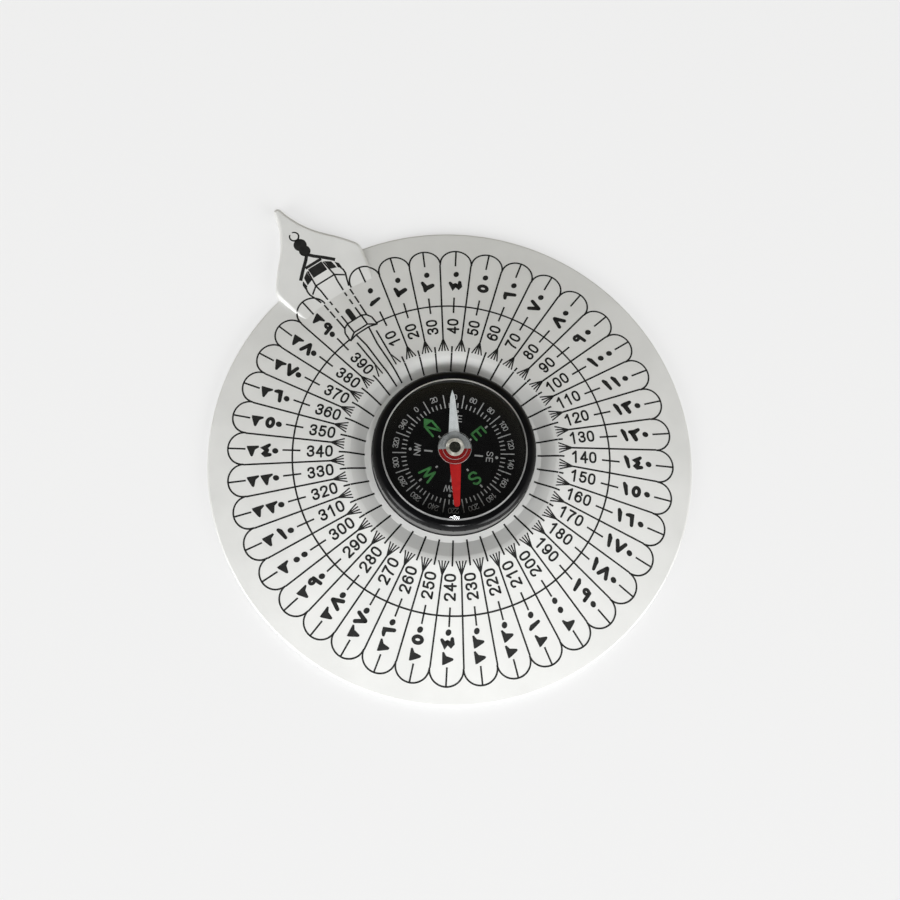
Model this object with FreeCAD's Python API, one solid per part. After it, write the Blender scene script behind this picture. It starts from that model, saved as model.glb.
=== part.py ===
import FreeCAD, Part
import math
import os

# Table compass for finding the direction of prayer. A moulded disc carries a printed scale on its
# sloping top and has an ogee pointer at its zero mark. A round liquid-filled compass capsule, with
# a fixed dial card and a needle on a pivot, sits in a well at the disc's centre.
#
# Origin: the disc's axis on the resting plane. +Z is up and +Y runs along the pointer.
# All sizes are in millimetres.

Vector = FreeCAD.Vector
UP = Vector(0, 0, 1)
NEAR = 0.001                # how close an edge lies to where it is looked for

# Scale disc
disc_radius = 59.0          # rim, without the pointer
rim_height = 2.0            # upright edge of the rim
rim_round = 0.5
ridge_radius = 25.6         # crest between the scale's slope and the funnel
ridge_height = 7.0
ridge_round = 4.0
shell_wall = 1.8            # even wall of the moulding
well_floor = 1.6
ledge_width = 1.6           # flat step round the capsule
ledge_height = 5.4
rib_count = 6
rib_wall = 1.2
rib_lift = 0.4              # the ribs stay clear of the table

# Ogee pointer
pointer_half_width = 12.6   # at its shoulders, from where its sides run towards the disc's axis
pointer_inset = 8.8         # how far inside the rim its flat top runs out into the slope
shoulder_reach = 1.2        # shoulders outside the rim
shoulder_round = 3.5
waist_half_width = 7.2      # where the ogee turns from its shoulder to its hollow
waist_reach = 6.8           # outside the rim
waist_angle = 43.5          # of the outline there, from the pointer's axis
pointer_reach = 19.4        # tip outside the rim
tip_round = 1.0
pointer_edge_round = 0.9

# Capsule
capsule_radius = 19.5
well_clearance = 0.2        # between the capsule and its well
tape_thickness = 0.4
tape_width = 5.0
tape_inset = 1.0            # from the capsule's edge
case_floor = 1.6
case_wall = 0.9
case_height = 8.0           # base to the rim that carries the lens
case_edge = 0.4
skirt_foot = 4.0            # lower edge of the bezel ring, above the case's base
skirt_wall = 0.95
snap_clearance = 0.05       # bezel ring on the case
card_clearance = 0.2        # dial card in the chamber
card_thickness = 0.8
card_seat_width = 2.4
boss_radius = 2.6

# Lens and bezel ring
window_land = 0.4           # window's edge inside the chamber's wall
window_lift = 1.3           # window's edge above the flange
window_bevel = 0.15
lens_wall = 1.0
lens_rise = 3.4             # crown of the lens, above the window's edge
flange_margin = 0.1         # lens flange inside the bezel ring
lip_clearance = 0.1         # bezel ring's lip round the window
lip_wall = 1.1
bezel_flat = 0.7            # flat inner part of the lip
bezel_side = 0.4            # upright side above the case's rim

# Needle on its pivot
needle_azimuth = 32.7       # from the pointer, clockwise seen from above
needle_margin = 3.2         # north tip inside the dial card's edge
lens_gap = 0.25             # north tip under the lens
card_gap = 4.7              # dial card to the blade
blade_thickness = 0.3
south_shortfall = 0.3       # south arm shorter than the north one
point_length = 1.8          # sharp end of the north arm
arm_root_width = 3.1        # width of both arms, taken at the axis
north_neck_width = 1.1
south_end_width = 1.4
jewel_radius = 1.35
jewel_thickness = 0.5
jewel_recess = 0.1          # jewel's top below the flange's top
cup_wall = 0.35
cup_flange_width = 0.4
cup_flange_thickness = 0.3
cup_stem_below = 0.6        # stem below the blade
hub_step_width = 0.85
hub_step_thickness = 0.35
hub_edge_width = 0.95
hub_thickness = 0.5
hub_overhang = 0.15         # hub outside the blade's round middle
pivot_radius = 0.35
bearing_clearance = 0.05    # pivot in the jewel
stem_clearance = 0.08       # pivot in the cup's stem
tip_gap = 0.05              # end play over the pivot
bearing_depth = 0.3
shank_radius = 0.7
shank_depth = 2.2           # pressed into the case's boss
taper_length = 0.8
taper_below_cup = 0.5       # the slender part starts this far below the cup

# Sizes that follow from the ones above
slope = (ridge_height - rim_height) / (disc_radius - ridge_radius)
wall_upright = shell_wall * math.hypot(1, slope)
well_radius = capsule_radius + well_clearance
well_wall_radius = well_radius + shell_wall
ledge_radius = well_radius + ledge_width
shoulder_radius = disc_radius + shoulder_reach
pointer_half_angle = math.degrees(math.asin(pointer_half_width / shoulder_radius))
pointer_top = rim_height + slope * pointer_inset
pointer_root_radius = disc_radius - 2 * pointer_inset

case_base = well_floor + tape_thickness
case_rim = case_base + case_height
skirt_radius = capsule_radius - skirt_wall
neck_radius = skirt_radius - snap_clearance
chamber_radius = neck_radius - case_wall
card_radius = chamber_radius - card_clearance
seat_radius = chamber_radius - card_seat_width

flange_top = case_rim + lens_wall
window_radius = chamber_radius - window_land
window_edge = flange_top + window_lift
lip_top = flange_top + lip_wall
lens_crown = window_edge + lens_rise
lens_inner_radius = chamber_radius - flange_margin
lens_inner_edge = window_edge - lens_wall
lens_inner_crown = lens_crown - lens_wall


def dome_height(radius, edge_radius, edge_height, crown):
    """Height at a radius of a dome that is level at the axis."""
    rise = crown - edge_height
    ball_radius = (edge_radius ** 2 + rise ** 2) / (2 * rise)
    return crown - ball_radius + math.sqrt(ball_radius ** 2 - radius ** 2)


def lens_underside(radius):
    return dome_height(radius, lens_inner_radius, lens_inner_edge, lens_inner_crown)


north_reach = card_radius - needle_margin
south_reach = north_reach - south_shortfall
blade_top = lens_underside(north_reach) - lens_gap
blade_base = blade_top - blade_thickness
card_face = blade_base - card_gap
card_back = card_face - card_thickness
hub_top = blade_top + hub_thickness
step_top = hub_top + hub_step_thickness
cup_top = step_top + cup_flange_thickness
cup_base = blade_base - cup_stem_below
jewel_top = cup_top - jewel_recess
jewel_base = jewel_top - jewel_thickness
pivot_tip = jewel_base + bearing_depth - tip_gap
slender_base = cup_base - taper_below_cup
shank_top = slender_base - taper_length

cup_stem_radius = jewel_radius + cup_wall
cup_flange_radius = cup_stem_radius + cup_flange_width
hub_step_radius = cup_flange_radius + hub_step_width
hub_radius = hub_step_radius + hub_edge_width


def outline_face(start, steps, place):
    """Face inside an outline. A step is an end point, or (point on the arc, end point), and a
    straight edge closes the outline where its last step leaves it open."""
    edges = []
    first = here = place(*start)
    for step in steps:
        if isinstance(step[0], tuple):
            middle, end = place(*step[0]), place(*step[1])
            edges.append(Part.Arc(here, middle, end).toShape())
        else:
            end = place(*step)
            edges.append(Part.LineSegment(here, end).toShape())
        here = end
    if not here.isEqual(first, Part.Precision.confusion()):
        edges.append(Part.LineSegment(here, first).toShape())
    return Part.Face(Part.Wire(edges))


def turned(start, *steps):
    """Solid of revolution about Z, from an outline of (radius, height) points."""
    return outline_face(start, steps, lambda r, z: Vector(r, 0, z)).revolve(Vector(), UP, 360)


def plate(start, steps, base, thickness):
    """Flat piece with an outline of (x, y) points, standing on height base."""
    return outline_face(start, steps, lambda x, y: Vector(x, y, base)).extrude(UP * thickness)


def disc(radius, base, top):
    return Part.makeCylinder(radius, top - base, Vector(0, 0, base))


def ring(outer, inner, base, top):
    return disc(outer, base, top).cut(disc(inner, base, top))


def arc_middle(start, end, degrees):
    """Halfway point of an arc that sets out from start at an angle to the left of the chord."""
    dx, dy = end[0] - start[0], end[1] - start[1]
    rise = math.tan(math.radians(degrees) / 2) / 2
    return (start[0] + end[0]) / 2 - rise * dy, (start[1] + end[1]) / 2 + rise * dx


def polar(radius, degrees):
    """Point at an angle from +Y, towards +X."""
    angle = math.radians(degrees)
    return radius * math.sin(angle), radius * math.cos(angle)


def circle_edges(solid, radius, height):
    """The solid's full circles of this radius at this height."""
    def matches(edge):
        curve = edge.Curve
        return (isinstance(curve, Part.Circle) and abs(curve.Radius - radius) < NEAR
                and abs(curve.Center.z - height) < NEAR)
    return [edge for edge in solid.Edges if matches(edge)]


def flat_edges(solid, height):
    """Edges that lie level at this height."""
    return [edge for edge in solid.Edges
            if abs(edge.BoundBox.ZMin - height) < NEAR and abs(edge.BoundBox.ZMax - height) < NEAR]


def upright_edges(solid, *points):
    """Upright edges that stand on these (x, y) points."""
    def matches(edge):
        foot = edge.Vertexes[0].Point
        upright = edge.BoundBox.ZLength > NEAR
        return upright and any(math.dist((foot.x, foot.y), point) < NEAR for point in points)
    return [edge for edge in solid.Edges if matches(edge)]


def rounded(solid, radius, *circles):
    edges = [edge for circle in circles for edge in circle_edges(solid, *circle)]
    return solid.makeFillet(radius, edges)


def slope_height(radius):
    """Height of the sloping scale at a radius."""
    return rim_height + slope * (disc_radius - radius)


def mirrored(point):
    return -point[0], point[1]


def pointer_solid(margin, base, top):
    """Upright block inside the pointer's outline, drawn in by margin."""
    inner = polar(pointer_root_radius, pointer_half_angle)
    shoulder = polar(shoulder_radius, pointer_half_angle)
    waist = (waist_half_width, disc_radius + waist_reach)
    lean = math.degrees(math.atan2(shoulder[0] - waist[0], waist[1] - shoulder[1]))
    shoulder_arc = arc_middle(shoulder, waist, lean - waist_angle)

    # The hollow arc leaves the waist at its angle and runs into the tip's round without a corner
    tip_y = disc_radius + pointer_reach - tip_round
    facing = math.radians(waist_angle)
    drop = tip_y - waist[1]
    chord = waist[0] ** 2 + drop ** 2 - tip_round ** 2
    lead = tip_round - waist[0] * math.cos(facing) + drop * math.sin(facing)
    hollow_radius = chord / (2 * lead)
    hollow_x = waist[0] + hollow_radius * math.cos(facing)
    hollow_y = waist[1] + hollow_radius * math.sin(facing)
    tip_angle = math.atan2(hollow_y - tip_y, hollow_x)
    middle_angle = (facing + tip_angle) / 2
    hollow_arc = (hollow_x - hollow_radius * math.cos(middle_angle),
                  hollow_y - hollow_radius * math.sin(middle_angle))
    tip_side = (tip_round * math.cos(tip_angle), tip_y + tip_round * math.sin(tip_angle))

    steps = [shoulder, (shoulder_arc, waist), (hollow_arc, tip_side),
             ((0, tip_y + tip_round), mirrored(tip_side)),
             (mirrored(hollow_arc), mirrored(waist)),
             (mirrored(shoulder_arc), mirrored(shoulder)), mirrored(inner)]
    block = plate(inner, steps, base, top - base)
    block = block.makeFillet(shoulder_round, upright_edges(block, shoulder, mirrored(shoulder)))
    if margin:
        outline = Part.Wire(Part.sortEdges(flat_edges(block, base))[0])
        block = Part.Face(outline).makeOffset2D(-margin).extrude(UP * (top - base))
    return block


def scale_disc():
    """One moulding: rim, sloping scale, funnel, well and pointer, hollow underneath."""
    body = turned((0, 0), (disc_radius, 0), (disc_radius, rim_height),
                  (ridge_radius, ridge_height), (ledge_radius, ledge_height),
                  (well_radius, ledge_height), (well_radius, well_floor), (0, well_floor))
    body = rounded(body, ridge_round, (ridge_radius, ridge_height))
    body = rounded(body, rim_round, (disc_radius, rim_height))
    pointer = pointer_solid(0, 0, pointer_top)
    open_edges = [edge for edge in flat_edges(pointer, pointer_top)
                  if edge.BoundBox.YMax > pointer_root_radius]
    body = body.fuse(pointer.makeFillet(pointer_edge_round, open_edges))
    return body.cut(underside_hollow()).removeSplitter()


def underside_hollow():
    """Space under the slope and the pointer, with radial ribs left standing in it."""
    rim_inside = disc_radius - shell_wall
    hollow = turned((well_wall_radius, 0), (rim_inside, 0),
                    (rim_inside, slope_height(rim_inside) - wall_upright),
                    (ridge_radius, ridge_height - wall_upright),
                    (well_wall_radius, ledge_height - shell_wall))
    rib = Part.makeBox(rib_wall, disc_radius, ridge_height, Vector(-rib_wall / 2, 0, rib_lift))
    for index in range(rib_count):
        turn = 360 * (index + 0.5) / rib_count
        hollow = hollow.cut(rib.rotated(Vector(), UP, turn))
    pocket = pointer_solid(shell_wall, 0, pointer_top - shell_wall)
    return hollow.fuse(pocket.cut(disc(disc_radius, 0, pointer_top)))


def mounting_tape():
    outer = capsule_radius - tape_inset
    return ring(outer, outer - tape_width, well_floor, case_base)


def capsule_case():
    """Cup with a seat for the dial card, a boss for the pivot and a neck for the bezel ring."""
    shoulder = case_base + skirt_foot
    floor = case_base + case_floor
    case = turned((0, case_base), (capsule_radius, case_base), (capsule_radius, shoulder),
                  (neck_radius, shoulder), (neck_radius, case_rim), (chamber_radius, case_rim),
                  (chamber_radius, card_back), (seat_radius, card_back), (seat_radius, floor),
                  (boss_radius, floor), (boss_radius, card_back), (0, card_back))
    case = rounded(case, case_edge, (capsule_radius, case_base))
    return case.cut(disc(shank_radius, card_back - shank_depth, card_back))


def dial_card():
    return ring(card_radius, shank_radius, card_back, card_face)


def lens():
    """Crowned window with a flange that stands on the case's rim."""
    flange_radius = skirt_radius - flange_margin
    bevel_radius = window_radius - window_bevel
    outer_middle = (bevel_radius / 2,
                    dome_height(bevel_radius / 2, bevel_radius, window_edge, lens_crown))
    inner_middle = (lens_inner_radius / 2, lens_underside(lens_inner_radius / 2))
    return turned((0, lens_inner_crown), (0, lens_crown),
                  (outer_middle, (bevel_radius, window_edge)),
                  (window_radius, window_edge - window_bevel), (window_radius, flange_top),
                  (flange_radius, flange_top), (flange_radius, case_rim),
                  (lens_inner_radius, case_rim), (lens_inner_radius, lens_inner_edge),
                  (inner_middle, (0, lens_inner_crown)))


def bezel_ring():
    """Glossy cap ring that snaps over the case and holds the lens by its flange."""
    lip = window_radius + lip_clearance
    foot = case_base + skirt_foot
    side_top = case_rim + bezel_side
    flat = lip + bezel_flat
    lean = math.degrees(math.atan2(capsule_radius - flat, lip_top - side_top))
    corner = arc_middle((capsule_radius, side_top), (flat, lip_top), -lean)
    return turned((capsule_radius, foot), (capsule_radius, side_top), (corner, (flat, lip_top)),
                  (lip, lip_top), (lip, flange_top), (skirt_radius, flange_top),
                  (skirt_radius, foot))


def pivot_pin():
    """Pin pressed into the case's boss, with a slender upper part that carries the needle."""
    return turned((0, card_back - shank_depth), (shank_radius, card_back - shank_depth),
                  (shank_radius, shank_top), (pivot_radius, slender_base),
                  (pivot_radius, pivot_tip), (0, pivot_tip))


def needle_blade():
    """Magnetised strip: a round middle, a sharp north arm and a blunt south arm."""
    root = arm_root_width / 2
    north = north_neck_width / 2
    neck = north_reach - point_length
    south = south_end_width / 2
    south_side = south_reach - south
    arms = plate((root, 0),
                 [(north, neck), (0, north_reach), (-north, neck), (-root, 0),
                  (-south, -south_side), ((0, -south_reach), (south, -south_side))],
                 blade_base, blade_thickness)
    blade = arms.fuse(disc(hub_radius - hub_overhang, blade_base, blade_top))
    blade = blade.cut(disc(cup_stem_radius, blade_base, blade_top)).removeSplitter()
    return blade.rotated(Vector(), UP, -needle_azimuth)


def needle_hub():
    """Clear stepped disc over the blade's middle."""
    return turned((cup_stem_radius, blade_top), (hub_radius, blade_top), (hub_radius, hub_top),
                  (hub_step_radius, hub_top), (hub_step_radius, step_top),
                  (cup_stem_radius, step_top))


def bearing_cup():
    """Brass cup through hub and blade, open below for the pivot and above for the jewel."""
    bore = pivot_radius + stem_clearance
    return turned((bore, cup_base), (cup_stem_radius, cup_base), (cup_stem_radius, step_top),
                  (cup_flange_radius, step_top), (cup_flange_radius, cup_top),
                  (jewel_radius, cup_top), (jewel_radius, jewel_base), (bore, jewel_base))


def jewel():
    """Dark bearing stone with a blind hole for the pivot's end."""
    stone = disc(jewel_radius, jewel_base, jewel_top)
    return stone.cut(disc(pivot_radius + bearing_clearance, jewel_base,
                          jewel_base + bearing_depth))


pieces = {
    "scale_disc": scale_disc,
    "mounting_tape": mounting_tape,
    "capsule_case": capsule_case,
    "dial_card": dial_card,
    "lens": lens,
    "bezel_ring": bezel_ring,
    "pivot_pin": pivot_pin,
    "needle_blade": needle_blade,
    "needle_hub": needle_hub,
    "bearing_cup": bearing_cup,
    "jewel": jewel,
}

os.makedirs("parts", exist_ok=True)
for name, build in pieces.items():
    build().exportStep(f"parts/{name}.step")
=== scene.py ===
import math
import bpy
from mathutils import Euler, Matrix, Vector
from mathutils.bvhtree import BVHTree


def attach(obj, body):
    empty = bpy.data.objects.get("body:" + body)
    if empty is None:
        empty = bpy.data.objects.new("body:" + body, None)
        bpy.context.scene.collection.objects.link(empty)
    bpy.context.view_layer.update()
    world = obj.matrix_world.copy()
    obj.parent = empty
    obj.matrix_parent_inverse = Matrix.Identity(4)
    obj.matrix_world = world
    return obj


# Looks of the qibla compass. Printed marks are thin meshes that lie on the model's own surfaces.
# Their layout is in millimetres, as seen from above, and angles run clockwise from +Y, in degrees.

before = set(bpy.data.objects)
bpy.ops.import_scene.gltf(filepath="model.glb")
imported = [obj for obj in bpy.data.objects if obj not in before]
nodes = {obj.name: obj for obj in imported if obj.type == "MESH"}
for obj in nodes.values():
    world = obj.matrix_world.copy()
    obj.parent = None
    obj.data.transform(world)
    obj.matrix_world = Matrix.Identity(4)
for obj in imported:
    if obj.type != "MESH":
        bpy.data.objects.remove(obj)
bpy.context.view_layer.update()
MM = 0.001


# ---------------------------------------------------------------- layout helpers
STROKE_STEP = 0.5           # a line has points no further apart, so that it follows the slope
BEND_LIMIT = 0.6            # cosine of half a bend, past which a stroke's corner grows no wider
CAP_CORNERS = 10
ABOVE = 100 * MM            # higher than every printed surface


def polar(radius, degrees):
    angle = math.radians(degrees)
    return radius * math.sin(angle), radius * math.cos(angle)


def toward(azimuth, elevation=0, distance=1):
    """The point that lies this way and this far from the origin."""
    flat = math.cos(math.radians(elevation)) * distance
    return Vector((*polar(flat, azimuth), math.sin(math.radians(elevation)) * distance))


def oval(x, y, across, along, corners=12):
    return [(x + across * math.sin(math.tau * i / corners),
             y + along * math.cos(math.tau * i / corners)) for i in range(corners)]


def placed(points, centre, degrees):
    """Points turned so that their up direction runs at an angle, then moved to a centre."""
    c, s = math.cos(math.radians(degrees)), math.sin(math.radians(degrees))
    return [(centre[0] + x * c + y * s, centre[1] - x * s + y * c, *rest) for x, y, *rest in points]


def resampled(points):
    """The same polyline with points no further apart than a stroke's step."""
    dense = [points[0]]
    for a, b in zip(points, points[1:]):
        count = max(1, math.ceil(math.dist(a, b) / STROKE_STEP))
        dense += [tuple(p + (q - p) * i / count for p, q in zip(a, b)) for i in range(1, count + 1)]
    return dense


def flowing(points, closed=False, steps=4):
    """Smooth curve through points."""
    count = len(points)
    path = []
    for i in range(count if closed else count - 1):
        a, b, c, d = (Vector(points[(i + j) % count if closed else min(max(i + j, 0), count - 1)])
                      for j in (-1, 0, 1, 2))
        for t in (step / steps for step in range(steps)):
            path.append(tuple(b + (c - a) * (t / 2) + (2 * a - 5 * b + 4 * c - d) * (t * t / 2)
                              + (3 * b - a - 3 * c + d) * (t ** 3 / 2)))
    return path if closed else path + [points[-1]]


def added(name, data):
    """A new object in the scene."""
    obj = bpy.data.objects.new(name, data)
    bpy.context.scene.collection.objects.link(obj)
    return obj


def piece(name, mesh, material, body):
    obj = added(name, mesh)
    mesh.materials.append(material)
    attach(obj, body)
    return obj


class Print:
    """Ink on the upper surface of a node: flat shapes are added, then laid on that surface."""

    def __init__(self, name, node, lift=0.02, shift=(0, 0)):
        mesh = nodes[node].data
        corners = [v.co.copy() for v in mesh.vertices]
        self.tree = BVHTree.FromPolygons(corners, [tuple(p.vertices) for p in mesh.polygons])
        self.name, self.lift, self.shift = name, lift * MM, shift
        self.points, self.faces = [], []

    def add(self, points, faces):
        start = len(self.points)
        self.points += [tuple(p) for p in points]
        self.faces += [tuple(start + i for i in face) for face in faces]

    def polygon(self, points):
        self.add(points, [tuple(range(len(points)))])

    def dot(self, centre, radius, corners=16):
        self.polygon(oval(*centre, radius, radius, corners))

    def line(self, points, width):
        """A stroke of even width along a polyline."""
        self.brush([(x, y, width) for x, y in resampled(points)], caps=False)

    def brush(self, path, closed=False, caps=True):
        """A stroke along points of (x, y, width)."""
        count = len(path)
        sides = []
        for i, (x, y, width) in enumerate(path):
            before = path[i - 1] if closed or i else path[i]
            after = path[(i + 1) % count] if closed or i < count - 1 else path[i]
            ins = Vector((x - before[0], y - before[1]))
            outs = Vector((after[0] - x, after[1] - y))
            ins = (ins if ins.length else outs).normalized()
            outs = (outs if outs.length else ins).normalized()
            along = (ins + outs).normalized()
            reach = width / 2 / max(BEND_LIMIT, along.dot(ins))
            sides.append(((x - along.y * reach, y + along.x * reach),
                          (x + along.y * reach, y - along.x * reach)))
        faces = [(2 * i, 2 * i + 1, 2 * i + 3, 2 * i + 2) for i in range(count - 1)]
        if closed:
            faces.append((2 * count - 2, 2 * count - 1, 1, 0))
        self.add([p for pair in sides for p in pair], faces)
        if caps:
            for x, y, width in (path[0], path[-1]):
                self.dot((x, y), width / 2, CAP_CORNERS)

    def laid(self, material, body, pressed=None):
        """The finished piece, with each corner just above the surface below it."""
        corners = []
        for x, y in self.points:
            if pressed:
                x, y = pressed(x, y)
            x, y = x + self.shift[0], y + self.shift[1]
            hit = self.tree.ray_cast(Vector((x * MM, y * MM, ABOVE)), Vector((0, 0, -1)))[0]
            corners.append((x * MM, y * MM, hit.z + self.lift))
        mesh = bpy.data.meshes.new(self.name)
        mesh.from_pydata(corners, [], self.faces)
        mesh.validate()
        mesh.update()
        for p in mesh.polygons:
            if p.normal.z < 0:
                p.flip()
        return piece(self.name, mesh, material, body)


# ---------------------------------------------------------------- lettering
# Characters one unit high, about their middle, as pen strokes: "-" straight, "~" flowing, "o" closed
SIX = [("~", [(0.22, 0.25), (0.15, 0.38), (0.02, 0.425), (-0.14, 0.36), (-0.24, 0.15), (-0.26, -0.1),
              (-0.2, -0.33), (-0.02, -0.425), (0.16, -0.37), (0.25, -0.19), (0.2, 0.0), (0.03, 0.1),
              (-0.14, 0.04), (-0.25, -0.12)])]
FONT = {
    "0": [("o", [(0, 0.425), (0.19, 0.33), (0.255, 0), (0.19, -0.33), (0, -0.425), (-0.19, -0.33),
                 (-0.255, 0), (-0.19, 0.33)])],
    "1": [("-", [(0.06, -0.5), (0.06, 0.46)]), ("-", [(0.06, 0.44), (-0.2, 0.22)])],
    "2": [("~", [(-0.25, 0.2), (-0.2, 0.36), (0, 0.425), (0.2, 0.36), (0.25, 0.2), (0.17, 0),
                 (-0.05, -0.2), (-0.24, -0.42)]), ("-", [(-0.25, -0.425), (0.27, -0.425)])],
    "3": [("~", [(-0.24, 0.24), (-0.17, 0.38), (0, 0.425), (0.17, 0.37), (0.22, 0.22), (0.14, 0.07),
                 (-0.05, 0.02)]),
          ("~", [(-0.05, 0.02), (0.16, -0.02), (0.25, -0.19), (0.18, -0.36), (0, -0.425),
                 (-0.18, -0.37), (-0.25, -0.2)])],
    "4": [("-", [(0.12, -0.5), (0.12, 0.46)]), ("-", [(0.12, 0.43), (-0.27, -0.19)]),
          ("-", [(-0.27, -0.19), (0.3, -0.19)])],
    "5": [("-", [(0.23, 0.425), (-0.15, 0.425)]), ("-", [(-0.15, 0.425), (-0.2, 0.02)]),
          ("~", [(-0.2, 0.02), (-0.05, 0.1), (0.1, 0.1), (0.24, -0.03), (0.25, -0.17),
                 (0.19, -0.34), (0.02, -0.425), (-0.15, -0.38), (-0.25, -0.22)])],
    "6": SIX,
    "7": [("-", [(-0.27, 0.425), (0.26, 0.425)]),
          ("~", [(0.26, 0.425), (0.08, 0.15), (-0.04, -0.15), (-0.08, -0.5)])],
    "8": [("o", oval(0, 0.22, 0.19, 0.205)), ("o", oval(0, -0.2, 0.245, 0.225))],
    "9": [(kind, [(-x, -y) for x, y in points]) for kind, points in SIX],
    "N": [("-", [(-0.33, -0.46), (-0.33, 0.46)]), ("-", [(-0.33, 0.46), (0.33, -0.46)]),
          ("-", [(0.33, -0.46), (0.33, 0.46)])],
    "E": [("-", [(-0.27, -0.44), (-0.27, 0.44)]), ("-", [(-0.27, 0.44), (0.29, 0.44)]),
          ("-", [(-0.27, 0.0), (0.24, 0.0)]), ("-", [(-0.27, -0.44), (0.29, -0.44)])],
    "S": [("~", [(0.28, 0.24), (0.17, 0.39), (0, 0.43), (-0.18, 0.39), (-0.27, 0.24), (-0.18, 0.09),
                 (0.02, 0.01), (0.21, -0.08), (0.29, -0.23), (0.19, -0.38), (0, -0.43),
                 (-0.2, -0.38), (-0.3, -0.22)])],
    "W": [("-", [(-0.46, 0.46), (-0.24, -0.44)]), ("-", [(-0.24, -0.44), (0, 0.4)]),
          ("-", [(0, 0.4), (0.24, -0.44)]), ("-", [(0.24, -0.44), (0.46, 0.46)])],
}


def write(sheet, text, centre, degrees, height, pitch, pen):
    """A short word round a centre, its up direction at an angle, its characters evenly spaced."""
    for index, character in enumerate(text):
        shift = (index - (len(text) - 1) / 2) * pitch
        for kind, points in FONT[character]:
            path = points if kind == "-" else flowing(points, kind == "o")
            stroke = placed([(x * height + shift, y * height, pen) for x, y in path], centre, degrees)
            sheet.brush(stroke, closed=kind == "o", caps=kind != "o")


# ---------------------------------------------------------------- materials
DRIFT_SPAN = (0.3, 0.7)     # the noise's values at which a drift is at its low and its high
GLOSS_PATCHES = 2.3         # patches of gloss along one of colour
BUMP_STRENGTH = 0.5


class Graph:
    """The node tree of a material or of the world."""

    def __init__(self, tree):
        self.tree = tree

    def new(self, kind, **settings):
        node = self.tree.nodes.new(kind)
        for key, value in settings.items():
            setattr(node, key, value)
        return node

    def link(self, output, socket):
        self.tree.links.new(output, socket)

    def range(self, source, low, high, start, end, **settings):
        """Low to high while the source goes from start to end."""
        node = self.new("ShaderNodeMapRange", **settings)
        for key, value in (("From Min", start), ("From Max", end), ("To Min", low), ("To Max", high)):
            node.inputs[key].default_value = value
        self.link(source, node.inputs["Value"])
        return node.outputs["Result"]

    def blend(self, share, first, second):
        """Colour between two, each a colour or another node's output."""
        node = self.new("ShaderNodeMix", data_type="RGBA")
        self.link(share, node.inputs["Factor"])
        for socket, value in ((node.inputs["A"], first), (node.inputs["B"], second)):
            if isinstance(value, tuple):
                socket.default_value = (*value, 1)
            else:
                self.link(value, socket)
        return node.outputs["Result"]

    def math(self, operation, first, second):
        """One operation on two values, the second a number or another node's output."""
        node = self.new("ShaderNodeMath", operation=operation)
        self.link(first, node.inputs[0])
        if isinstance(second, float):
            node.inputs[1].default_value = second
        else:
            self.link(second, node.inputs[1])
        return node.outputs["Value"]

    def along(self, place, direction):
        """How far a place lies in a direction."""
        node = self.new("ShaderNodeVectorMath", operation="DOT_PRODUCT")
        node.inputs[1].default_value = direction
        self.link(place, node.inputs[0])
        return node.outputs["Value"]

    def rays(self, *kinds):
        """1 for rays of these kinds and 0 for others."""
        path = self.new("ShaderNodeLightPath")
        found, *others = (path.outputs[f"Is {kind} Ray"] for kind in kinds)
        for other in others:
            found = self.math("MAXIMUM", found, other)
        return found


class Finish(Graph):
    """A material and its Principled shader. Noise scales are per metre of the object's own space."""

    def __init__(self, name):
        self.material = bpy.data.materials.new(name)
        self.material.use_nodes = True
        super().__init__(self.material.node_tree)
        self.shader = self.tree.nodes["Principled BSDF"]
        self.place = self.new("ShaderNodeTexCoord").outputs["Object"]
        self.colour = None

    def noise(self, scale, detail):
        node = self.new("ShaderNodeTexNoise")
        node.inputs["Scale"].default_value = scale
        node.inputs["Detail"].default_value = detail
        self.link(self.place, node.inputs["Vector"])
        return node.outputs["Fac"]

    def drift(self, scale, low=0.0, high=1.0, detail=3.0):
        """A value that goes from low to high and back in patches."""
        return self.range(self.noise(scale, detail), low, high, *DRIFT_SPAN)

    def paint(self, colour):
        self.colour = colour
        self.link(colour, self.shader.inputs["Base Color"])

    def roughen(self, value):
        self.link(value, self.shader.inputs["Roughness"])

    def bump(self, scale, depth):
        node = self.new("ShaderNodeBump")
        node.inputs["Strength"].default_value = BUMP_STRENGTH
        node.inputs["Distance"].default_value = depth * MM
        self.link(self.noise(scale, 2.0), node.inputs["Height"])
        self.link(node.outputs["Normal"], self.shader.inputs["Normal"])

    def set(self, **values):
        for key, value in values.items():
            self.shader.inputs[key.replace("_", " ")].default_value = value

    def mix(self, share, first, second):
        """The surface shows a share of the second shader in place of the first."""
        node = self.new("ShaderNodeMixShader")
        for output, socket in ((share, "Fac"), (first, 1), (second, 2)):
            self.link(output, node.inputs[socket])
        self.link(node.outputs["Shader"], self.tree.nodes["Material Output"].inputs["Surface"])


def surface(name, dark, light, patch, rough, grain, depth, **values):
    """A finish whose colour drifts in patches, with uneven gloss and a fine grain of a depth in mm."""
    finish = Finish(name)
    finish.paint(finish.blend(finish.drift(patch), dark, light))
    finish.roughen(finish.drift(patch * GLOSS_PATCHES, *rough, detail=5.0))
    finish.bump(grain, depth)
    finish.set(**values)
    return finish


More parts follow.
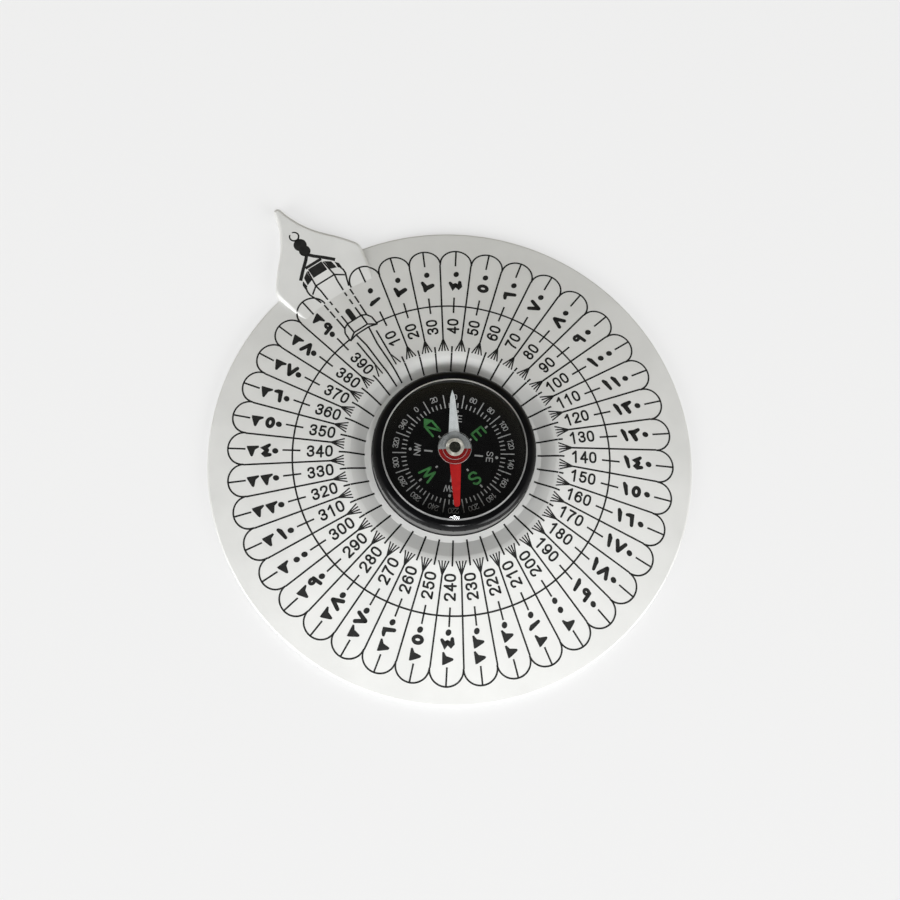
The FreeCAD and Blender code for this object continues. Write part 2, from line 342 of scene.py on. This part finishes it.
silver = surface("silver_paint", (0.73, 0.73, 0.715), (0.78, 0.78, 0.765), patch=90,
                 rough=(0.58, 0.66), grain=9000, depth=0.012, Metallic=0.4).material
foam = surface("foam_tape", (0.50, 0.50, 0.48), (0.66, 0.66, 0.63), patch=900,
               rough=(0.85, 0.95), grain=2500, depth=0.12).material
black_plastic = surface("black_plastic", (0.008, 0.008, 0.009), (0.014, 0.014, 0.015), patch=400,
                        rough=(0.35, 0.5), grain=4000, depth=0.01).material
bezel_black = surface("bezel_black", (0.002, 0.002, 0.0023), (0.005, 0.005, 0.0055), patch=250,
                      rough=(0.12, 0.2), grain=700, depth=0.004, Specular_IOR_Level=0.2).material
dial_black = surface("dial_black", (0.0012, 0.0012, 0.0014), (0.0028, 0.0028, 0.003), patch=500,
                     rough=(0.8, 0.9), grain=5000, depth=0.001, Specular_IOR_Level=0.0).material
ink = surface("ink", (0.008, 0.008, 0.008), (0.018, 0.018, 0.017), patch=700,
              rough=(0.42, 0.55), grain=6000, depth=0.004, Specular_IOR_Level=0.3).material
dial_white = surface("dial_white", (0.23, 0.23, 0.23), (0.35, 0.35, 0.35), patch=2500,
                     rough=(0.5, 0.6), grain=5000, depth=0.004).material
dial_green = surface("dial_green", (0.018, 0.12, 0.022), (0.042, 0.20, 0.05), patch=1200,
                     rough=(0.45, 0.6), grain=4000, depth=0.004).material
steel = surface("pin_steel", (0.48, 0.48, 0.48), (0.62, 0.62, 0.61), patch=1500,
                rough=(0.2, 0.35), grain=6000, depth=0.003, Metallic=1.0).material
brass = surface("cup_brass", (0.30, 0.28, 0.24), (0.92, 0.89, 0.82), patch=620,
                rough=(0.25, 0.4), grain=750, depth=0.2, Metallic=0.35).material
stone = surface("jewel_dark", (0.006, 0.006, 0.004), (0.02, 0.02, 0.015), patch=1500,
                rough=(0.15, 0.25), grain=5000, depth=0.002).material

NEEDLE_REST = 32.7          # the needle's rest pose, from the pointer
PAINT_SEAM = 0.2            # the red begins this far south of the pin's axis
PAINTED_GLOW_SIDE = 25              # painted highlight: the lens's frosted edge is painted palest this way
PAINTED_GLOW_FROM, PAINTED_GLOW_TO = 3, 17  # and the painted highlight grows paler between these distances that way


def needle_paint():
    """White on the north half and red on the south half."""
    finish = surface("needle_paint", (0.47, 0.49, 0.505), (0.54, 0.56, 0.575), patch=900,
                     rough=(0.45, 0.55), grain=5000, depth=0.004, Specular_IOR_Level=0.2)
    north = finish.along(finish.place, toward(NEEDLE_REST))
    south = finish.math("LESS_THAN", north, -PAINT_SEAM * MM)
    red = finish.blend(finish.drift(1100), (0.31, 0.005, 0.006), (0.40, 0.009, 0.009))
    finish.paint(finish.blend(south, finish.colour, red))
    return finish.material


def clear(name, tint, gloss, haze):
    """Clear plastic that lets the lamps' light through to what lies under it."""
    finish = Finish(name)
    finish.set(Base_Color=(*tint, 1), IOR=1.35, Transmission_Weight=1.0, Specular_IOR_Level=gloss)
    finish.roughen(finish.drift(300, 0.0, haze))
    through = finish.new("ShaderNodeBsdfTransparent")
    through.inputs["Color"].default_value = (*tint, 1)
    finish.mix(finish.rays("Shadow", "Diffuse"), finish.shader.outputs["BSDF"], through.outputs["BSDF"])
    return finish.material


def ground(name, dark, light):
    """A pale edge band on clear plastic. Its pale colour is a painted highlight, standing for the light
    that such an edge catches.
    """
    return surface(name, dark, light, patch=900, rough=(0.25, 0.4), grain=3000, depth=0.01)


def ground_lens():
    """The lens's frosted edge, partly its own pale colour and partly a painted highlight: painted paler
    on the side away from the lamps, where it catches their light.
    """
    finish = ground("lens_frosted_glow", (0.62, 0.62, 0.60), (0.74, 0.74, 0.72))
    # Painted light: the edge is painted dim on the lamps' side and pale on the far side.
    dim = finish.blend(finish.drift(900), (0.13, 0.13, 0.13), (0.2, 0.2, 0.195))
    away = finish.along(finish.place, toward(PAINTED_GLOW_SIDE))
    painted_glow_share = finish.range(away, 0, 1, PAINTED_GLOW_FROM * MM, PAINTED_GLOW_TO * MM)
    finish.paint(finish.blend(painted_glow_share, dim, finish.colour))
    return finish.material


lens_clear = clear("lens_clear", (0.98, 0.985, 0.98), gloss=0.18, haze=0.01)
hub_clear = clear("hub_clear", (0.80, 0.80, 0.80), gloss=0.8, haze=0.12)
lens_frosted_glow = ground_lens()
# The hub's pale edge bands are painted highlights.
hub_edge_glow = ground("hub_edge_glow", (0.22, 0.22, 0.22), (0.34, 0.34, 0.335)).material


def dress(name, material):
    """The material on a node of the frame."""
    slots = nodes[name].material_slots
    if slots:
        for slot in slots:
            slot.link = "OBJECT"
            slot.material = material
    else:
        nodes[name].data.materials.append(material)


for name, material in {
    "scale_disc": silver, "mounting_tape": foam, "capsule_case": black_plastic,
    "dial_card": dial_black, "lens": lens_clear, "bezel_ring": bezel_black, "pivot_pin": steel,
    "needle_blade": needle_paint(), "needle_hub": hub_clear, "bearing_cup": brass, "jewel": stone,
}.items():
    dress(name, material)


# ---------------------------------------------------------------- printed scale
LOBES = 40                  # lobe 0 is at the pointer, and has no marks
TURN = 360 / LOBES          # degrees from one lobe to the next
LEAN = 1.257                # the print's straight lines pass this far from the disc's axis
SET = 1.85                  # turn of the whole print
INK = 0.42                  # width of a line
PAD = (-0.24, 0.17)         # the print's offset from the disc's axis
STRETCH = 0.0043            # of the print along the pointer, and as much less across it
LEVEL = 29.0                # outside this radius the print runs inward near the pointer ...
CREEP = 0.0173              # ... and outward opposite it, by this share of the way out

# Radii, from the rim inward
LOBE_TIP, LOBE_CUSP = 54.15, 50.2
TIP_TICK = (LOBE_TIP, 49.8)
RING_TICK = (40.75, 36.35)
RING = 38.3
SHORT_LINE = 36.5           # top of the two lines next to the pointer
FAN_TOP, FAN_FOOT = 29.15, 25.85
INNER_TICK = (27.1, 20.8)

FAN_SPREAD = (-2.7, -0.9, 0.9, 2.7)                     # degrees from a line to its fan's ends
END_SPREAD = {0: (0, 2.7), LOBES - 1: (-2.7, 0)}        # the same next to the pointer
FAN_INK = 0.33
RING_GAP = 6.2              # degrees from the pointer to either end of the ring
LOBE_STEPS = 24


def settled(x, y):
    """Where the printing pad leaves a point of its layout on the slope."""
    radius = math.hypot(x, y)
    inward = CREEP * (radius - LEVEL) * y / radius ** 2
    return x * (1 - STRETCH - inward), y * (1 + STRETCH - inward)


def scale_angle(radius, lobe):
    """Angle of a straight scale line at a radius. Line 0 is the pointer's."""
    return SET + TURN * lobe - math.degrees(math.asin(LEAN / radius))


def scale_point(radius, lobe, aside=0.0):
    return polar(radius, scale_angle(radius, lobe) + aside)


def radial(outer, inner, lobe):
    scale.line([scale_point(outer, lobe), scale_point(inner, lobe)], INK)


def lobe_arc(lobe):
    """Rounded outer end of a lobe, from one cusp to the next."""
    centre = scale_angle(LOBE_TIP, lobe)
    arc = []
    for i in range(LOBE_STEPS + 1):
        t = math.pi * i / LOBE_STEPS
        radius = LOBE_CUSP + (LOBE_TIP - LOBE_CUSP) * math.sin(t)
        arc.append(polar(radius, centre - TURN / 2 * math.cos(t)))
    scale.line(arc, INK)


scale = Print("scale_print", "scale_disc", shift=PAD)
for lobe in range(1, LOBES):
    lobe_arc(lobe)
    for outer, inner in (TIP_TICK, RING_TICK, INNER_TICK):
        radial(outer, inner, lobe)
for side in range(LOBES):
    middle = side + 0.5
    radial(SHORT_LINE if side in END_SPREAD else LOBE_CUSP, FAN_TOP, middle)
    for aside in END_SPREAD.get(side, FAN_SPREAD):
        scale.line([scale_point(FAN_TOP, middle), scale_point(FAN_FOOT, middle, aside)], FAN_INK)
scale.line([polar(RING, RING_GAP + (360 - 2 * RING_GAP) * i / 360) for i in range(361)], INK)
scale.laid(ink, "housing", settled)


# ---------------------------------------------------------------- numerals
TURNOVER = 20               # numerals read outward before this lobe, and inward from it on
FIGURES = {"height": 2.75, "pitch": 2.2, "pen": 0.5}    # Western figures
FIGURE_EDGE = 33.93         # radius of a number's outermost figure
FIGURE_SWAY = 0.25          # it lies this much further in at the pointer, and out opposite it
FIGURE_RISE = 0.15          # of the figures, in their up direction
DIGIT_SWAY = 0.17           # Eastern digits lie this much further out at the pointer
ZERO_DROP, WEDGE_DROP = 0.1, 0.2                        # of these forms, against their up direction


def reading(lobe, radius, rise):
    """Centre and up direction of a numeral, which is raised a little in that direction."""
    angle = scale_angle(radius, lobe)
    up = angle - 90 if lobe < TURNOVER else angle + 90
    centre = polar(radius, angle)
    shift = polar(rise, up)
    return (centre[0] + shift[0], centre[1] + shift[1]), up


def pointer_share(lobe):
    """1 at the pointer and -1 opposite it."""
    return math.cos(math.radians(TURN * lobe))


figures = Print("degree_numbers", "scale_disc", shift=PAD)
for lobe in range(1, LOBES):
    text = str(lobe * 10)
    outer = FIGURE_EDGE - FIGURE_SWAY * pointer_share(lobe)
    middle = outer - FIGURES["pitch"] * (len(text) - 1) / 2
    centre, up = reading(lobe, middle, FIGURE_RISE)
    write(figures, text, centre, up, **FIGURES)
figures.laid(ink, "housing")

# Eastern Arabic digits, about 2.9 mm high, as brush strokes of (x, y, width) ...
BRUSH = {
    "1": [[(-0.5, 1.25, 0.85), (-0.15, 0.7, 1.15), (0.35, -1.2, 0.8)]],
    "2": [[(-1.1, 0.85, 0.85), (-0.3, 0.75, 1.3), (1.0, 1.15, 0.85)],
          [(-0.55, 0.6, 1.3), (0.1, -1.2, 1.1)]],
    "3": [[(-1.2, 0.8, 0.85), (-0.55, 0.6, 1.25), (0.05, 0.7, 1.15), (1.1, 1.2, 0.85)],
          [(-0.6, 0.6, 1.3), (0.1, -1.2, 1.1)]],
    "4": [[(0.65, 1.3, 0.8), (-0.6, 0.6, 1.2), (0.2, 0.0, 1.0)],
          [(0.2, 0.0, 1.0), (-0.5, -0.8, 1.15), (-0.1, -1.15, 1.15), (0.95, -1.1, 0.85)]],
    "6": [[(-1.1, 0.85, 0.75), (-0.5, 1.0, 1.0), (0.2, 1.0, 1.1), (0.7, -1.2, 0.9)]],
    "7": [[(-1.1, 1.1, 0.95), (0.05, -1.05, 1.05)], [(0.05, -1.05, 1.05), (1.1, 1.15, 0.95)]],
    "8": [[(-1.05, -1.15, 0.95), (0.05, 1.05, 1.05)], [(0.05, 1.05, 1.05), (1.15, -1.15, 0.95)]],
    "9": [[(0.45, 0.9, 0.95), (0.85, -1.15, 0.9)]],
}
# ... and closed loops: middle, half width, half height and width of the stroke
LOOPS = {"5": ((0, -0.05), 0.75, 1.0, 0.9), "9": ((-0.3, 0.6), 0.62, 0.5, 0.78)}
ZERO = oval(0, 0, 0.78, 0.67, 14)
ZERO_TILT = 25
# Filled form of 2 and 3 on the half that reads inward
WEDGE = [(-1.5, 1.2), (1.4, 1.25), (1.5, 0.85), (0.55, 0.25), (0.1, -1.3), (-0.2, -1.45),
         (-0.5, -1.2), (-1.45, 0.75)]


def digit_radii(lobe):
    """Where a number's digits stand, in reading order. They shift a little from lobe to lobe."""
    if lobe == 1:
        return 43.6, 46.8
    if lobe < 10:
        return 43.95, 47.1
    if lobe < TURNOVER:
        step = lobe - 10
        return 42.7 + 0.04 * step, 45.1 + 0.1 * step, 47.7 + 0.13 * step
    step = min(1, (lobe - TURNOVER) / 10)
    return 48.7 - 1.05 * step, 45.0 - 0.65 * step, 42.5 - 0.3 * step


def eastern_digit(digit, lobe, radius):
    wedge = lobe >= TURNOVER and digit in "23"
    drop = ZERO_DROP if digit == "0" else WEDGE_DROP if wedge else 0.0
    centre, up = reading(lobe, radius + DIGIT_SWAY * pointer_share(lobe), -drop)
    if digit == "0":
        eastern.polygon(placed(ZERO, centre, up + ZERO_TILT))
        return
    if wedge:
        eastern.polygon(placed(WEDGE, centre, up))
        return
    for stroke in BRUSH.get(digit, ()):
        eastern.brush(placed(stroke, centre, up))
    if digit in LOOPS:
        middle, across, along, width = LOOPS[digit]
        loop = [(x, y, width) for x, y in oval(*middle, across, along, 24)]
        eastern.brush(placed(loop, centre, up), closed=True, caps=False)


eastern = Print("eastern_numbers", "scale_disc", shift=PAD)
for lobe in range(1, LOBES):
    for digit, radius in zip(str(lobe * 10), digit_radii(lobe)):
        eastern_digit(digit, lobe, radius)
eastern.laid(ink, "housing")


# ---------------------------------------------------------------- minaret
tower = Print("minaret_print", "scale_disc", shift=PAD)


def mirrored(points):
    return [(-x, y) for x, y in points]


def both(points, width):
    """A line and its mirror image about the pointer's axis."""
    tower.line(points, width)
    tower.line(mirrored(points), width)


def both_filled(points):
    tower.polygon(points)
    tower.polygon(mirrored(points))


# Crescent, open towards the pointer's tip, over two beads
MOON_STEPS = 24
moon = []
for i in range(MOON_STEPS + 1):
    x, y = polar(1.15, 5 + 322 * i / MOON_STEPS)
    moon.append((x, y + 69.2, 0.32 + 0.1 * math.sin(math.pi * i / MOON_STEPS)))
tower.brush(moon, caps=False)
tower.dot((0, 66.45), 1.65, 28)
tower.dot((0.1, 64.5), 1.45, 24)

# Roof and the lantern's windows
both([(0, 63.4), (1.2, 62.1), (3.2, 60.3), (5.15, 58.35)], 0.85)
tower.line([(-2.35, 60.45), (2.35, 60.45)], 0.75)
tower.polygon([(-2.05, 57.2), (2.05, 57.2), (2.0, 59.85), (-2.0, 59.85)])
both_filled([(2.6, 59.5), (4.05, 58.5), (4.35, 56.35), (2.75, 56.95)])
both_filled([(4.7, 57.95), (5.4, 57.05), (5.45, 55.7), (4.55, 56.15)])
both([(2.3, 59.5), (2.6, 56.6), (2.75, 55.1)], INK)

# Upper gallery
tower.line([(-4.7, 53.6), (-2.75, 55.1), (2.75, 55.1), (4.9, 53.6)], INK)
both([(5.0, 56.2), (5.35, 55.0), (5.3, 53.9), (4.7, 52.4), (4.1, 50.6)], INK)
both([(2.75, 55.1), (2.45, 53.3), (2.3, 50.4)], INK)

# Broken lines down the shaft, and its doorway
for top, foot in ((49.7, 48.5), (47.4, 45.8), (44.7, 42.0)):
    both([(2.2 - 0.03 * (50 - top), top), (2.2 - 0.03 * (50 - foot), foot)], INK)
    both([(3.85 - 0.075 * (50 - top), top), (3.85 - 0.075 * (50 - foot), foot - 0.6)], INK)
ARCH_RADIUS, ARCH_STEPS = 0.725, 12
door = [(-0.7, 41.9), (0.75, 41.9)]
for i in range(ARCH_STEPS + 1):
    t = math.pi * i / ARCH_STEPS
    door.append((0.025 + ARCH_RADIUS * math.cos(t), 44.8 + ARCH_RADIUS * math.sin(t)))
tower.polygon(door)

# Lower gallery
tower.line([(-3.9, 40.2), (-3.2, 41.4), (-2.1, 42.0), (2.1, 42.0), (3.2, 41.4), (3.9, 40.2)], INK)
both([(3.9, 40.2), (4.0, 37.7)], INK)
both([(2.07, 41.9), (1.95, 39.1)], INK)
tower.line([(-4.0, 37.7), (-1.95, 39.1), (1.95, 39.1), (4.0, 37.7)], INK)
tower.line([(-4.0, 37.7), (-1.95, 38.3), (1.95, 38.3), (4.0, 37.7)], INK)

# Foot of the shaft, which runs down into the funnel
tower.line([(1.75, 38.2), (0.95, 33.3), (0.7, 28.2), (0.3, 21.6)], INK)
tower.line([(-1.9, 38.2), (-1.4, 34.5), (-1.4, 28.5), (-1.25, 21.6)], INK)
tower.laid(ink, "housing")


# ---------------------------------------------------------------- dial
NORTH = -4.9                # the dial card's north, from the pointer
TICKS = 72
TICK_FOOT, TICK_TOP, LONG_TICK_TOP = 11.2, 12.4, 14.5
TICK_PEN, BAR_PEN = 0.27, 0.4
DEGREES_RADIUS, WORD_RADIUS, LETTER_RADIUS = 13.85, 8.6, 7.8
DEGREES = {"height": 1.38, "pitch": 0.84, "pen": 0.19}
WORDS = {"height": 1.65, "pitch": 1.42, "pen": 0.22}
LETTERS = {"height": 3.3, "pitch": 1, "pen": 0.52}
WORD_BAR, OUTER_BAR, INNER_BAR = (7.0, 5.0), (10.6, 9.8), (5.5, 4.9)
DOT_RADIUS, DOT = 10.3, 0.37
ARROW_RADIUS = 10.1
ARROWHEAD = [(-1.45, -0.8), (1.45, -0.8), (0, 0.95)]


def dial_point(radius, degrees):
    return polar(radius, NORTH + degrees)


def dial_line(outer, inner, degrees, width):
    white.line([dial_point(outer, degrees), dial_point(inner, degrees)], width)


def dial_text(sheet, text, radius, degrees, style):
    write(sheet, text, dial_point(radius, degrees), NORTH + degrees, **style)


white = Print("dial_marks", "dial_card", lift=0.01)
for angle in range(0, 360, 360 // TICKS):
    between_numbers = angle % 20 == 10
    dial_line(LONG_TICK_TOP if between_numbers else TICK_TOP, TICK_FOOT, angle, TICK_PEN)
for angle in range(0, 360, 20):
    dial_text(white, str(angle), DEGREES_RADIUS, angle, DEGREES)
for angle, word in ((45, "NE"), (135, "SE"), (225, "SW"), (315, "NW")):
    dial_text(white, word, WORD_RADIUS, angle, WORDS)
    white.dot(dial_point(DOT_RADIUS, angle), DOT)
    dial_line(*WORD_BAR, angle, BAR_PEN)
for angle in (0, 90, 180, 270):
    if angle:
        dial_line(*OUTER_BAR, angle, BAR_PEN)           # north has the arrowhead instead
    dial_line(*INNER_BAR, angle, BAR_PEN)
white.laid(dial_white, "housing")

green = Print("dial_letters", "dial_card", lift=0.012)
for angle, letter in ((0, "N"), (90, "E"), (180, "S"), (270, "W")):
    dial_text(green, letter, LETTER_RADIUS, angle, LETTERS)
green.polygon(placed(ARROWHEAD, dial_point(ARROW_RADIUS, 0), NORTH))
green.laid(dial_green, "housing")


# ---------------------------------------------------------------- pale edge bands, partly painted highlights
# Up the lens's side and over its bevel, as (radius, height)
LENS_EDGE = [(17.22, 10.5), (17.22, 12.17), (17.06, 12.33), (16.86, 12.41)]
FLAT_WIDTH, FLAT_RISE = 0.07, 0.005                     # of the part of a hub step's edge on its flat


def band(name, outline, material, body, steps):
    """A ring swept round the disc's axis along an open outline of (radius, height) points."""
    mesh = bpy.data.meshes.new(name)
    points = []
    for i in range(steps):
        c, s = math.cos(math.tau * i / steps), math.sin(math.tau * i / steps)
        points += [(r * MM * c, r * MM * s, z * MM) for r, z in outline]
    size = len(outline)
    faces = []
    for i in range(steps):
        here, beyond = i * size, (i + 1) % steps * size
        faces += [(here + j, beyond + j, beyond + j + 1, here + j + 1) for j in range(size - 1)]
    mesh.from_pydata(points, [], faces)
    mesh.update()
    mesh.shade_smooth()
    return piece(name, mesh, material, body)


def step_edge(name, radius, top, depth):
    """Painted highlight on the edge of one of the hub's steps, with the start of its flat."""
    outline = [(radius, top - depth), (radius, top), (radius - FLAT_WIDTH, top + FLAT_RISE)]
    band(name, outline, hub_edge_glow, "needle", steps=96)


# Pale bands on the lens's edge and the hub's steps: painted highlights, the lens's band partly its own
# frosted colour.
band("lens_edge", LENS_EDGE, lens_frosted_glow, "housing", steps=180)
step_edge("hub_edge", 3.91, 12.75, 0.07)
step_edge("hub_step_edge", 2.96, 13.1, 0.06)


# ---------------------------------------------------------------- lamps, floor and room
LAMP_DISTANCE = 2.4         # metres
DAYLIGHT = (0.985, 0.995, 1)
FLOOR_REACH, FLOOR_LEVEL = 1.5, -0.0001
FLOOR_PALE = (0.856, 0.856, 0.856)
FLOOR_GLOW = 0.75           # share of the floor's look that is its own glow, which no shadow darkens
FAR_WALL, NEAR_WALL = (0.22, 0.195, 0.11), (0.90, 0.90, 0.90)
CEILING = (0.08, 0.08, 0.078)
CEILING_SPAN = (0.4, 0.8)   # sine of the height at which the walls end and the ceiling begins
NEAR_SIDE = 215             # azimuth of the picture's lower side


def area_light(name, azimuth, elevation, size, power, colour=DAYLIGHT):
    """A round lamp that shines on the origin and isn't seen through the lens."""
    light = bpy.data.lights.new(name, "AREA")
    light.shape = "DISK"
    light.size = size
    light.energy = power
    light.color = colour
    lamp = added(name, light)
    lamp.location = toward(azimuth, elevation, LAMP_DISTANCE)
    lamp.rotation_euler = (-lamp.location).to_track_quat("-Z", "Y").to_euler()
    lamp.visible_transmission = False


area_light("key", 210, 54, 0.4, 15.5)
area_light("soft_left", 262, 26, 1.6, 44.0)
area_light("soft_right", 168, 26, 1.6, 43.0, (0.99, 0.995, 1))


def floor_paint():
    """Near white, and partly glowing where it is seen, so that it stays pale and keeps the shadow."""
    finish = Finish("floor")
    finish.paint(finish.blend(finish.drift(3), (0.87, 0.87, 0.87), (0.89, 0.89, 0.89)))
    finish.set(Roughness=0.9, Specular_IOR_Level=0.1)
    glow = finish.new("ShaderNodeEmission")
    glow.inputs["Color"].default_value = (*FLOOR_PALE, 1)
    share = finish.math("MULTIPLY", finish.rays("Camera", "Glossy", "Transmission"), FLOOR_GLOW)
    finish.mix(share, finish.shader.outputs["BSDF"], glow.outputs["Emission"])
    return finish.material


floor_mesh = bpy.data.meshes.new("floor")
corners = ((-1, -1), (1, -1), (1, 1), (-1, 1))
floor_mesh.from_pydata([(x * FLOOR_REACH, y * FLOOR_REACH, FLOOR_LEVEL) for x, y in corners], [],
                       [(0, 1, 2, 3)])
floor_mesh.materials.append(floor_paint())
floor = added("floor", floor_mesh)


def studio_world():
    """A warm far wall, a pale near one and a dark ceiling."""
    world = bpy.data.worlds.new("studio")
    world.use_nodes = True
    graph = Graph(world.node_tree)
    view = graph.new("ShaderNodeTexCoord").outputs["Generated"]
    near = graph.along(view, toward(NEAR_SIDE))
    high = graph.along(view, (0, 0, 1))
    near = graph.range(near, 0, 1, -1, 1, interpolation_type="SMOOTHSTEP")
    high = graph.range(high, 0, 1, *CEILING_SPAN, interpolation_type="SMOOTHSTEP")
    walls = graph.blend(near, FAR_WALL, NEAR_WALL)
    graph.link(graph.blend(high, walls, CEILING), graph.tree.nodes["Background"].inputs["Color"])
    return world


bpy.context.scene.world = studio_world()


# ---------------------------------------------------------------- camera
CAMERA_PLACE = (-51.43, -46.64, 280.76)
CAMERA_TURN = (14.026, -3.128, -35.0)                   # about X, then Y, then Z
PHOTO_SIZE = 900                                        # pixels
PHOTO_SHIFT = (-1.7, 0.5)                               # of the camera's axis, in pixels

camera_data = bpy.data.cameras.new("camera")
camera_data.sensor_width = 36
camera_data.lens = 47.25
camera_data.shift_x, camera_data.shift_y = (pixels / PHOTO_SIZE for pixels in PHOTO_SHIFT)
camera = added("camera", camera_data)
turn = Euler([math.radians(angle) for angle in CAMERA_TURN])
camera.matrix_world = Matrix.LocRotScale(Vector(CAMERA_PLACE) * MM, turn, None)
bpy.context.scene.camera = camera
bpy.context.scene.view_settings.view_transform = "Standard"
